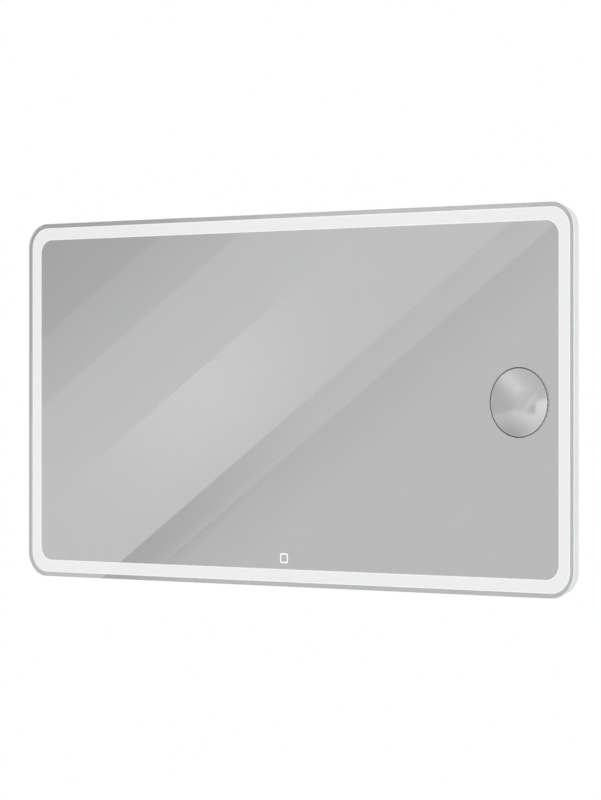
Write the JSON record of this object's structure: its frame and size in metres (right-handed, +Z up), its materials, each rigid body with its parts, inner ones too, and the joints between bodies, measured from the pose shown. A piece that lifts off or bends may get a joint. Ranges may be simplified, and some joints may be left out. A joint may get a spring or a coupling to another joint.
{
  "type": "lighted bathroom mirror",
  "caption": "Landscape wall mirror with rounded corners, a lit frosted border band, a flush round concave shaving mirror and a touch key, in a slim side frame with keyhole hangers.",
  "frame": {"origin": "middle of the back face, on the wall's plane", "axes": "+X right as the user sees it, +Y into the wall, +Z up; the mirror faces -Y"},
  "size_m": [1.3, 0.025, 0.7],
  "materials": {
    "clear_glass": "clear float glass with polished edges",
    "silvering": "silvered, grey paint on its back",
    "etched_glass": "etched, even, lit from behind",
    "opal_plastic": "opal acrylic, satin",
    "white_paint": "fine satin powder coat on aluminium",
    "panel_paint": "satin powder coat on steel",
    "zinc_steel": "zinc plated",
    "screw_steel": "bright zinc plated",
    "rivet_aluminium": "plain",
    "black_foam": "closed-cell foam with adhesive faces",
    "white_foam": "closed-cell foam with adhesive faces",
    "black_ring": "satin black",
    "shaving_silvering": "silvered concave glass",
    "holder_plastic": "moulded, light grey",
    "grommet_rubber": "soft, matt",
    "clamp_nylon": "natural nylon",
    "block_plastic": "moulded, white",
    "tinned_brass": "stamped",
    "strip_board": "white solder mask",
    "led_phosphor": "phosphor lens",
    "connector_plastic": "moulded, white",
    "driver_plastic": "moulded, white",
    "green_board": "green solder mask",
    "component_black": "moulded packages",
    "white_sheath": "extruded, satin",
    "earth_sheath": "extruded, satin",
    "sensor_plastic": "moulded, black"
  },
  "bodies": {
    "root": {"mirror_glass": "clear_glass", "silver_coating": "silvering", "frosted_band": "etched_glass", "touch_icon": "etched_glass", "light_diffuser": "opal_plastic", "glass_tape": "white_foam", "magnifier_mirror": "shaving_silvering", "magnifier_gasket": "black_ring", "magnifier_cup": "holder_plastic", "magnifier_pad": "black_foam", "side_frame": "white_paint", "frame_joiner": "zinc_steel", "joiner_rivets": "rivet_aluminium", "back_panel": "panel_paint", "panel_screws": "screw_steel", "wiring_cover_screws": "screw_steel", "rail_rivets": "rivet_aluminium", "hanger_rivets": "rivet_aluminium", "hanger_left": "zinc_steel", "hanger_right": "zinc_steel", "wiring_cover": "panel_paint", "cable_grommet": "grommet_rubber", "terminal_block": "block_plastic", "terminal_screws": "tinned_brass", "clamp_and_block_screws": "screw_steel", "cord_clamp": "clamp_nylon", "support_rail_top": "zinc_steel", "support_rail_bottom_left": "zinc_steel", "support_rail_bottom_right": "zinc_steel", "support_rail_left": "zinc_steel", "support_rail_right": "zinc_steel", "rail_tape": "white_foam", "strip_connector": "connector_plastic", "driver_case": "driver_plastic", "driver_end_caps": "driver_plastic", "driver_board": "green_board", "driver_components": "component_black", "driver_screws": "screw_steel", "earth_stud": "screw_steel", "earth_nut": "screw_steel", "earth_lug": "tinned_brass", "sensor_adhesive": "black_foam", "sensor_case": "sensor_plastic", "sensor_board": "green_board", "sensor_leds": "led_phosphor", "mains_lead": "white_sheath", "driver_lead": "white_sheath", "strip_lead": "white_sheath", "earth_lead": "earth_sheath", "strip_jumpers": "white_sheath", "lead_clips": "clamp_nylon", "led_strip_top": "strip_board", "leds_top": "led_phosphor", "led_strip_bottom": "strip_board", "leds_bottom": "led_phosphor", "led_strip_left": "strip_board", "leds_left": "led_phosphor", "led_strip_right": "strip_board", "leds_right": "led_phosphor"}
  },
  "joints": []
}
